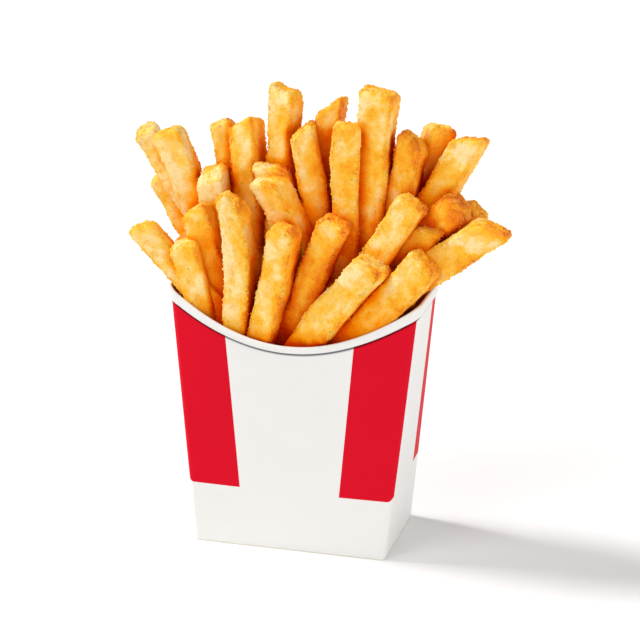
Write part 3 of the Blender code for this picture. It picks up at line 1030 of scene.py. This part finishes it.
    def add(self, fry: Fry, parts: MeshParts, toast: float) -> None:
        """Add one fry to a mesh.

        Args:
            fry: The fry.
            parts: The mesh it goes into.
            toast: How brown it is, from 0 to 1.
        """
        grain, dice = self.grain, self.dice
        right, front, along = (np.array(axis) for axis in fry.axes())
        stations = self.stations(fry)
        down = stations[0]
        half = fry.side * MM / 2
        a, b, edge = self.section(fry, stations)
        share = down / (fry.length * MM)
        slope = a * math.tan(math.radians(fry.slant)) - b * math.tan(math.radians(fry.chop))
        hollow = (fry.bite * MM + dice.uniform(-grain.bite, grain.bite)) * ((a / half) ** 2 - 0.5)
        hollow = hollow + dice.uniform(-grain.bite, grain.bite) * ((b / half) ** 2 - 0.5)
        lift = slope * ((1 - share) ** grain.slope_fade)[:, None]
        lift = lift + hollow * ((1 - share) ** grain.hollow_fade)[:, None]
        loose = np.minimum(down / grain.loose_from, 1) * grain.sway
        bow = fry.bow * MM * 4 * share * (1 - share) + loose * self.waves(down, (55 * MM, 97 * MM))
        sag = loose * self.waves(down, (61 * MM, 90 * MM))
        centre = np.array(fry.tip) * MM - down[:, None] * along + bow[:, None] * right + sag[:, None] * front
        rings = centre[:, None, :] + a[..., None] * right + b[..., None] * front + lift[..., None] * along
        outward = a[..., None] * right + b[..., None] * front
        outward /= np.maximum(np.linalg.norm(outward, axis=2, keepdims=True), 0.01 * MM)
        outward = np.where((down < 0.01 * MM)[:, None, None], along, outward)
        whole = np.ones_like(edge)
        marks = {
            "edge": edge,
            "end": np.clip(1 - down / grain.end_zone, 0, 1)[:, None] * whole,
            # The toast mark also holds painted side light; the deep mark is painted shade where the heap
            # closes round the fry.
            "toast": toast - grain.painted_side_light * outward @ np.array(grain.painted_light_side),
            "deep": self.closeness(rings, centre, fry),
            "lot": whole * round(dice.uniform(0, 9), 3),
            "across": a,
            "front": b,
            "down": down[:, None] * whole,
        }
        parts.add_rings(rings, marks)


class FryHeap:
    """The separate fries, their crumbs and the core under them."""

    row_relief: dict[str, float] = {
        "Lump Height": 0.6 * MM,
        "Lump Size": 5 * MM,
        "Grain Height": 0.40 * MM,
        "Grain Size": 1.1 * MM,
        "End Height": 0.6 * MM,
    }
    core_relief: dict[str, float] = {
        "Lump Height": 2.0 * MM,
        "Lump Size": 8 * MM,
        "Grain Height": 0.5 * MM,
        "Grain Size": 2 * MM,
    }
    crumbs: dict[str, float] = {"Density": 2.4e6, "Smallest": 0.22 * MM, "Largest": 0.55 * MM}
    middle_toast: float = 0.45
    toast_per_mm: float = 0.001
    toast_stray: float = 0.05
    core_rings: tuple[int, int] = (26, 72)  # levels and points round
    core_sunk: float = 14 * MM  # how far below the scoop's edge the core starts
    core_top: float = 98 * MM
    core_gaps: tuple[float, float] = (4 * MM, 5 * MM)  # to the board at the sides and at the panels
    core_tapers: tuple[float, float] = (0.55, 0.85)

    def __init__(self, plan: BoardPlan, finishes: Finishes) -> None:
        """Keep the carton's sizes and the materials."""
        self.plan = plan
        self.finishes = finishes
        self.relief = crust_relief_tree()
        self.scatter = crumb_scatter_tree()
        self.ruled = RuledRows().draw(plan)
        fries = [*BACK_ROW, *MIDDLE_ROW, *FRONT_ROW, *(fry for _, fry in self.ruled)]
        self.shade = HeapShade(plan, fries)

    def toast(self, fry: Fry, dice: random.Random) -> float:
        """Say how brown a fry is: those on the right of the heap are a little browner."""
        stray = dice.uniform(-self.toast_stray, self.toast_stray)
        return self.middle_toast + self.toast_per_mm * fry.tip[0] + fry.brown + stray

    def build_row(self, row: Row, fries: Sequence[Fry], grain: FryGrain, seed: int) -> Piece:
        """Build the fries of one row as one piece.

        Args:
            row: The row, which names the piece.
            fries: Its fries.
            grain: How finely they are drawn.
            seed: Seed of their unevenness.

        Returns:
            The piece.
        """
        parts = MeshParts()
        maker = FryMaker(self.plan, grain, self.shade, seed)
        dice = random.Random(seed + 100)
        for fry in fries:
            maker.add(fry, parts, self.toast(fry, dice))
        piece = parts.build(row.value)
        run_geometry_nodes(piece, self.relief, self.row_relief | {"Material": self.finishes.crust})
        return piece

    def build_crumbs(self, name: str, row: Piece, seed: int) -> Piece:
        """Scatter crumbs over one row.

        Args:
            name: The piece's name.
            row: The fries that the crumbs lie on.
            seed: Seed of their places.

        Returns:
            The piece.
        """
        piece = bpy.data.objects.new(name, row.data.copy())
        bpy.context.scene.collection.objects.link(piece)
        own = {"Lowest": self.plan.scoop_height, "Seed": seed, "Material": self.finishes.crumb}
        run_geometry_nodes(piece, self.scatter, self.crumbs | own)
        piece.data.name = name
        piece.data.materials.clear()
        piece.data.materials.append(self.finishes.crumb)
        piece.data.polygons.foreach_set("material_index", [0] * len(piece.data.polygons))
        return piece

    def core_ring(self, level: float) -> list[Triple]:
        """Give one ring of the core, level from 0 at its foot to 1 at its top."""
        plan, around = self.plan, self.core_rings[1]
        low = plan.scoop_height - self.core_sunk
        z = low + (self.core_top - low) * level
        (side_gap, panel_gap), (side_taper, panel_taper) = self.core_gaps, self.core_tapers
        width = (plan.half_width(z) - side_gap) * (1 - side_taper * level**2)
        depth = (plan.half_depth(0, min(z, plan.scoop_height)) - panel_gap) * (1 - panel_taper * level**0.8)
        points = []
        for j in range(around):
            angle = math.tau * j / around
            cos, sin = math.cos(angle), math.sin(angle)
            square = (abs(cos) ** 4 + abs(sin) ** 4) ** -0.25
            points.append((width * cos * square, depth * sin * square, z))
        return points

    def build_core(self) -> Piece:
        """Build the lumpy core, which fills the gaps between the feet of the fries."""
        levels = self.core_rings[0]
        rings = np.array([self.core_ring(i / (levels - 1)) for i in range(levels)])
        flat = np.zeros(rings.shape[:2])
        # A full deep mark paints the whole core in shade.
        marks = {"edge": flat, "end": flat, "toast": flat + 0.5, "deep": flat + 1.0, "lot": flat + 4.0}
        marks |= {"across": rings[..., 0], "front": rings[..., 1], "down": rings[..., 2]}
        parts = MeshParts()
        parts.add_rings(rings, marks)
        piece = parts.build("heap_core")
        run_geometry_nodes(piece, self.relief, self.core_relief | {"Material": self.finishes.core})
        return piece

    def build(self) -> list[Piece]:
        """Build the whole heap, hang it on the root, hide the frame's fries and return the pieces."""
        fine = FryGrain()
        coarse = FryGrain(ring_spacing=1.0 * MM, face_spacing=1.3 * MM, corner_steps=5)
        inner = [fry for number, fry in self.ruled if number < 2]
        rear = [fry for number, fry in self.ruled if number >= 2]
        rows = [
            self.build_row(Row.FRONT, FRONT_ROW, fine, 21),
            self.build_row(Row.MIDDLE, MIDDLE_ROW, fine, 22),
            self.build_row(Row.BACK, BACK_ROW, fine, 23),
            self.build_row(Row.INNER, inner, coarse, 24),
            self.build_row(Row.REAR, rear, coarse, 25),
        ]
        crumbs = [self.build_crumbs(f"crumbs_on_{row.name}", row, 3 + i) for i, row in enumerate(rows[:3])]
        pieces = [*rows, *crumbs, self.build_core()]
        for piece in pieces:
            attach(piece, "root")
            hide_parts("fries")
        return pieces


class Zone(Enum):
    """What a ring of the carton's skin belongs to."""

    EDGE = "cut edge"
    PRINT = "printed outside"
    BAND = "raised band"
    INSIDE = "bare inside"


class Carton:
    """The folded board carton: outside print, raised band, cut edges and bare inside."""

    panel_steps: int = 64
    side_steps: int = 20
    fold_steps: int = 6
    wall_levels: int = 44
    foot_round: float = 0.4 * MM
    sharpest: float = 50  # degrees between two faces that are still shaded as one
    painted_shadow_rings: tuple[tuple[float, float], ...] = (  # distance below the band, how dark the painted shadow is
        (1.3 * MM, 0.0),
        (0.9 * MM, 0.35),
        (0.6 * MM, 0.95),
        (0.3 * MM, 1.0),
        (0.0, 1.0),
    )
    band_rings: tuple[Triple, ...] = (  # place on the band, how proud, how dark the painted shadow is
        (0.00, 0.70, 1.0),
        (0.05, 1.15, 0.10),
        (0.16, 1.35, 0.0),
        (0.50, 1.35, 0.0),
        (0.84, 1.30, 0.0),
        (0.96, 1.00, 0.0),
        (1.00, 0.40, 0.0),
    )

    def __init__(self, plan: BoardPlan, finishes: Finishes) -> None:
        """Keep the sizes and the materials."""
        self.plan = plan
        self.finishes = finishes

    def places(self) -> list[Place]:
        """List where a section's points stand, in order round the carton."""
        places: list[Place] = []
        for corner, (sx, sy) in enumerate(((1, -1), (1, 1), (-1, 1), (-1, -1))):
            start = math.radians(90 * corner - 90)
            for i in range(self.fold_steps + 1):
                places.append((sx, sy, start + math.pi / 2 * i / self.fold_steps))
            on_side = corner % 2 == 0
            steps = self.side_steps if on_side else self.panel_steps
            for i in range(1, steps):
                share = 1 - 2 * i / steps
                places.append((sx, sy * share, None) if on_side else (sx * share, sy, None))
        return places

    def across(self, place: Place) -> float:
        """Tell how far a place stands from the middle, as a share of the half width."""
        sx, _, fold = place
        top = self.plan.corner_height
        round_share = self.plan.fold_radius(top) / self.plan.half_width(top)
        if fold is not None:
            return 1 - round_share * (1 - abs(math.cos(fold)))
        return 1.0 if abs(sx) == 1 else abs(sx) * (1 - round_share)

    def point(self, place: Place, z: float, inset: float) -> Triple:
        """Give the point of one place at the height z, inset from the outer face."""
        plan = self.plan
        sx, sy, fold = place
        radius, width = plan.fold_radius(z), plan.half_width(z)
        flat_x = width - radius
        flat_y = plan.half_depth(width, z) - radius
        if fold is not None:
            reach = radius - inset
            return (sx * flat_x + reach * math.cos(fold), sy * flat_y + reach * math.sin(fold), z)
        if abs(sx) == 1:
            return (sx * (width - inset), sy * flat_y, z)
        x = sx * flat_x
        return (x, math.copysign(plan.half_depth(x, z) - inset, sy), z)

    def ring(
        self, level: float, inset: float, foot: float = 0.0, to_rim_foot: bool = False, short: float = 0.0
    ) -> np.ndarray:
        """Make one ring of the wall.

        Args:
            level: From 0 at the foot to 1 at the top.
            inset: How far inside the outer face it is.
            foot: Height of the foot.
            to_rim_foot: Whether the top is the foot of the raised band, and not the top edge.
            short: How far short of that the top stays.

        Returns:
            The points.
        """
        top = self.plan.rim_foot if to_rim_foot else self.plan.edge_height
        points = []
        for place in self.places():
            height = foot + (top(self.across(place)) - short - foot) * level
            points.append(self.point(place, height, inset))
        return np.array(points)

    def band_ring(self, share: float, inset: float) -> np.ndarray:
        """Make one ring of the raised band, share from 0 at its foot to 1 at the top edge."""
        points = []
        for place in self.places():
            across = self.across(place)
            low, high = self.plan.rim_foot(across), self.plan.edge_height(across)
            points.append(self.point(place, low + (high - low) * share, inset))
        return np.array(points)

    def layers(self) -> list[tuple[np.ndarray, Zone, float]]:
        """List the rings from the foot up the outside and down the inside.

        Returns:
            Each ring, its zone and how dark the painted shadow under the band is there.
        """
        plan, foot = self.plan, self.foot_round
        layers = [
            (self.ring(0.0, 0.25 * MM), Zone.EDGE, 0.0),
            (self.ring(0.0, 0.05 * MM, foot=0.12 * MM), Zone.EDGE, 0.0),
            (self.ring(0.0, 0.0, foot=foot), Zone.PRINT, 0.0),
        ]
        for i in range(1, self.wall_levels + 1):
            ring = self.ring(i / self.wall_levels, 0.0, foot=foot, to_rim_foot=True, short=1.5 * MM)
            layers.append((ring, Zone.PRINT, 0.0))
        for below, line in self.painted_shadow_rings:
            layers.append((self.ring(1.0, 0.0, to_rim_foot=True, short=below), Zone.PRINT, line))
        for share, proud, line in self.band_rings:
            layers.append((self.band_ring(share, -plan.rim_proud * proud), Zone.BAND, line))
        layers.append((self.band_ring(1.0, plan.board * 0.6), Zone.BAND, 0.0))
        inner_levels = self.wall_levels // 2
        for i in range(inner_levels + 1):
            level = 1 - i / inner_levels
            ring = self.ring(level, plan.board, foot=plan.board, short=0.2 * MM * level)
            layers.append((ring, Zone.INSIDE, 0.0))
        return layers

    def build(self) -> Piece:
        """Build the carton, dress it and return the piece."""
        rings, zones, painted_shadows = zip(*self.layers())
        stacked = np.stack(rings)
        around = stacked.shape[1]
        even = np.ones(around)
        band = np.outer([float(zone is Zone.BAND) for zone in zones], even)
        parts = MeshParts()
        parts.add_rings(stacked, {"band": band, "line": np.outer(painted_shadows, even)})
        piece = parts.build("carton_shell")
        mesh = piece.data
        for material in (self.finishes.print, self.finishes.cut_edge, self.finishes.inside):
            mesh.materials.append(material)
        slot_of = {Zone.PRINT: 0, Zone.BAND: 0, Zone.EDGE: 1, Zone.INSIDE: 2}
        strips = [below if below is Zone.EDGE else above for below, above in zip(zones, zones[1:])]
        strips += [Zone.EDGE, Zone.INSIDE]
        slots = np.repeat([slot_of[zone] for zone in strips], around).astype(np.int32)
        mesh.polygons.foreach_set("material_index", slots)
        mesh.set_sharp_from_angle(angle=math.radians(self.sharpest))
        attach(piece, "root")
        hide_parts("carton")
        return piece


@dataclass(frozen=True)
class Studio:
    """The white floor, the soft light and the camera."""

    azimuth: float = 15.3
    elevation: float = 18.8
    distance: float = 0.9
    lens: float = 133.9
    sensor: float = 36.0
    aim_height: float = 85.2 * MM
    aim_right: float = 6 * MM
    floor_reach: float = 6.0
    floor_white: float = 0.92
    ambient: float = 0.39
    side_glow: float = 2.0
    glow_narrowness: float = 5.0
    side_glow_from: Triple = (0.95, -0.30, 0.05)
    light_colour: Triple = (1.0, 0.99, 0.98)

    def add_camera(self) -> None:
        """Place the camera at the photograph's angle."""
        a, e = math.radians(self.azimuth), math.radians(self.elevation)
        back = Vector((math.sin(a) * math.cos(e), -math.cos(a) * math.cos(e), math.sin(e)))
        right = Vector((math.cos(a), math.sin(a), 0.0))
        data = bpy.data.cameras.new("camera")
        data.sensor_width = self.sensor
        data.lens = self.lens
        data.clip_start = 0.05
        camera = bpy.data.objects.new("camera", data)
        camera.location = Vector((0, 0, self.aim_height)) + right * self.aim_right + back * self.distance
        camera.rotation_euler = back.to_track_quat("Z", "Y").to_euler()
        bpy.context.scene.collection.objects.link(camera)
        bpy.context.scene.camera = camera

    def add_sun(self, name: str, strength: float, softness: float, direction: Sequence[float]) -> None:
        """Add a soft, distant light.

        Args:
            name: The light's name.
            strength: Its strength.
            softness: Its apparent width in degrees.
            direction: Where it stands, seen from the carton.
        """
        data = bpy.data.lights.new(name, "SUN")
        data.energy = strength
        data.angle = math.radians(softness)
        data.color = self.light_colour
        light = bpy.data.objects.new(name, data)
        light.rotation_euler = Vector(direction).to_track_quat("Z", "Y").to_euler()
        bpy.context.scene.collection.objects.link(light)

    def add_floor(self) -> None:
        """Lay the white floor."""
        mesh = bpy.data.meshes.new("floor")
        reach = self.floor_reach
        corners = [(-reach, -reach, 0), (reach, -reach, 0), (reach, reach, 0), (-reach, reach, 0)]
        mesh.from_pydata(corners, [], [(0, 1, 2, 3)])
        floor = bpy.data.objects.new("floor", mesh)
        bpy.context.scene.collection.objects.link(floor)
        material = bpy.data.materials.new("white floor")
        material.use_nodes = True
        surface = material.node_tree.nodes["Principled BSDF"]
        surface.inputs["Base Color"].default_value = (self.floor_white, self.floor_white, self.floor_white, 1)
        surface.inputs["Roughness"].default_value = 0.9
        surface.inputs["Specular IOR Level"].default_value = 0.0
        mesh.materials.append(material)

    def add_world(self) -> None:
        """Light the room evenly, and show it white behind the carton."""
        world = bpy.data.worlds.new("white room")
        world.use_nodes = True
        graph = Graph(world.node_tree)
        direction = graph.add("ShaderNodeTexCoord").outputs["Generated"]
        ways = {0: direction, 1: self.side_glow_from}
        toward = graph.add("ShaderNodeVectorMath", ways, operation="DOT_PRODUCT").outputs["Value"]
        lobe = graph.math("POWER", graph.math("MAXIMUM", toward, 0.0), self.glow_narrowness)
        light = graph.plus(graph.times(lobe, self.side_glow), self.ambient)
        seen = graph.add("ShaderNodeLightPath").outputs["Is Camera Ray"]
        strength = graph.add("ShaderNodeMix", {"Factor": seen, "A": light, "B": 1.0}, data_type="FLOAT")
        white = {"Color": (1.0, 1.0, 1.0, 1.0), "Strength": strength.outputs["Result"]}
        background = graph.add("ShaderNodeBackground", white)
        graph.add("ShaderNodeOutputWorld", {0: background.outputs[0]})
        bpy.context.scene.world = world

    def build(self) -> None:
        """Set up the whole studio."""
        bpy.context.scene.view_settings.view_transform = "Standard"
        self.add_camera()
        self.add_floor()
        self.add_world()
        self.add_sun("key from the left", 2.3, 14, (-1.1, 0.07, 1.25))
        self.add_sun("fill from the front left", 0.95, 40, (-0.8, -1.0, 1.0))


def main() -> None:
    """Load the frame, dress it and report each piece."""
    logging.basicConfig(level=logging.INFO, format="%(name)s: %(message)s")
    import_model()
    plan = BoardPlan()
    finishes = Finishes()
    pieces = [Carton(plan, finishes).build(), *FryHeap(plan, finishes).build()]
    Studio().build()
    for piece in pieces:
        piece.data.calc_loop_triangles()
        LOG.info("%s: %d triangles", piece.name, len(piece.data.loop_triangles))


if __name__ == "__main__":
    main()
